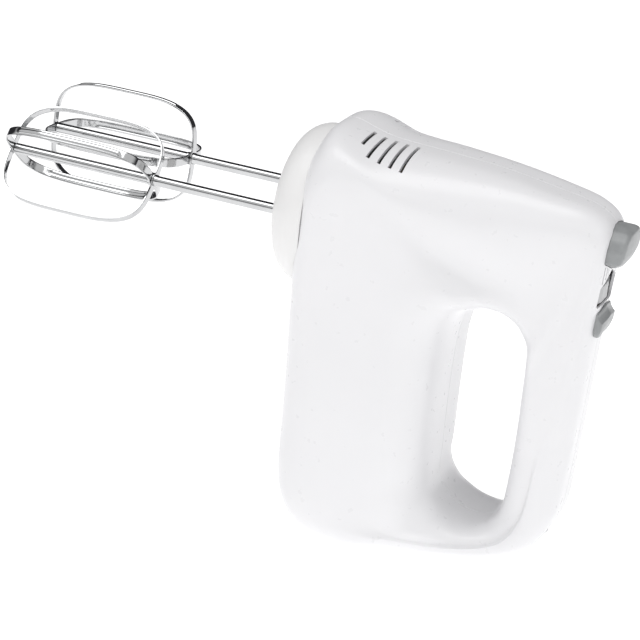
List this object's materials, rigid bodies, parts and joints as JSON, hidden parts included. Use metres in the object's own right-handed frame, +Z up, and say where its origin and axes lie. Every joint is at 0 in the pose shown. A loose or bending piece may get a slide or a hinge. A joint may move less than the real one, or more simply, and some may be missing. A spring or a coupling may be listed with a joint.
{
  "type": "hand mixer",
  "caption": "Corded hand mixer with an upright motor body, looped handle, front eject button, slide speed control and closed-loop beaters on a worm drive.",
  "frame": {"origin": "centre of the heel pad's underside, where the mixer stands on its heel", "axes": "+Z up when standing on the heel; the beaters point towards -X, 8 degrees above level; +Y towards the shell that the screws enter from"},
  "size_m": [0.2905, 0.0848, 0.1975],
  "materials": {
    "white_gloss": "gloss",
    "grey_satin": "satin",
    "light_grey": "satin",
    "polished_steel": "polished",
    "plain_steel": "brushed",
    "cast_alloy": "satin",
    "bronze": "satin",
    "copper_wire": "enamelled",
    "brass": "satin",
    "laminated_iron": "matte",
    "black_plastic": "matte",
    "natural_nylon": "matte",
    "soft_rubber": "matte",
    "board_green": "satin",
    "yellow_film": "gloss"
  },
  "bodies": {
    "housing": {"housing_left": "white_gloss", "housing_right": "white_gloss", "left_screw_posts": "white_gloss", "right_screw_posts": "white_gloss", "nose_collar": "white_gloss", "collar_screws": "plain_steel", "heel_pad": "soft_rubber", "housing_screws": "plain_steel", "gear_frame": "cast_alloy", "spindle_bushes": "bronze", "front_bearings": "bronze", "rear_bearing": "bronze", "motor_stator": "laminated_iron", "field_coils": "copper_wire", "motor_end_bracket": "cast_alloy", "motor_screws": "plain_steel", "brush_plate": "black_plastic", "brush_holders": "brass", "carbon_brushes": "laminated_iron", "brush_springs": "plain_steel", "air_baffle": "black_plastic", "rod_guide": "natural_nylon", "eject_spring": "plain_steel", "turbo_switch": "black_plastic", "turbo_spring": "plain_steel", "detent_leaf": "plain_steel", "switch_block": "black_plastic", "control_board": "board_green", "suppression_capacitor": "yellow_film", "terminal_block": "natural_nylon", "cord_inlet": "soft_rubber", "cord_clamp": "black_plastic", "clamp_screws": "plain_steel", "power_leads": "natural_nylon"},
    "rotor": {"motor_shaft": "plain_steel", "armature_core": "laminated_iron", "armature_windings": "copper_wire", "commutator": "copper_wire", "cooling_fan": "black_plastic", "worm": "plain_steel"},
    "left_drive": {"left_worm_wheel": "natural_nylon", "left_spindle": "plain_steel"},
    "right_drive": {"right_worm_wheel": "natural_nylon", "right_spindle": "plain_steel"},
    "left_beater": {"left_beater_shaft": "polished_steel", "left_outer_loop": "polished_steel", "left_inner_loop": "polished_steel"},
    "right_beater": {"right_beater_shaft": "polished_steel", "right_outer_loop": "polished_steel", "right_inner_loop": "polished_steel"},
    "ejector": {"eject_button": "grey_satin", "eject_rod": "natural_nylon"},
    "turbo": {"turbo_button": "light_grey"},
    "speed_slider": {"speed_knob": "grey_satin", "slider_carriage": "natural_nylon"}
  },
  "joints": [
    {"name": "rotor_spin", "type": "hinge", "parent": "housing", "child": "rotor", "pos_m": [-0.00416, 0, 0.15004], "axis": [0.1392, 0, 0.9903], "continuous": true},
    {"name": "left_drive_spin", "type": "hinge", "parent": "housing", "child": "left_drive", "pos_m": [-0.00416, -0.0205, 0.15004], "axis": [0.9903, 0, -0.1392], "continuous": true},
    {"name": "right_drive_spin", "type": "hinge", "parent": "housing", "child": "right_drive", "pos_m": [-0.00416, 0.0205, 0.15004], "axis": [0.9903, 0, -0.1392], "continuous": true},
    {"name": "eject_press", "type": "slide", "parent": "housing", "child": "ejector", "axis": [-0.9903, 0, 0.1392], "range_m": [0, 0.007], "stiffness_N_per_m": 300, "springref_m": -0.004, "deforming": ["eject_spring"]},
    {"name": "left_beater_release", "type": "slide", "parent": "left_drive", "child": "left_beater", "axis": [-0.9903, 0, 0.1392], "range_m": [0, 0.007]},
    {"name": "right_beater_release", "type": "slide", "parent": "right_drive", "child": "right_beater", "axis": [-0.9903, 0, 0.1392], "range_m": [0, 0.007]},
    {"name": "turbo_press", "type": "slide", "parent": "housing", "child": "turbo", "axis": [-0.9903, 0, 0.1392], "range_m": [0, 0.0025], "stiffness_N_per_m": 500, "springref_m": -0.002, "deforming": ["turbo_spring"]},
    {"name": "speed_slide", "type": "slide", "parent": "housing", "child": "speed_slider", "axis": [-0.1702, 0, -0.9854], "range_m": [0, 0.006]}
  ],
  "couplings": [
    {"joint": "left_drive_spin", "follows": "rotor_spin", "ratio": -0.076923},
    {"joint": "right_drive_spin", "follows": "rotor_spin", "ratio": 0.076923},
    {"joint": "left_beater_release", "follows": "eject_press", "ratio": 1},
    {"joint": "right_beater_release", "follows": "eject_press", "ratio": 1}
  ]
}
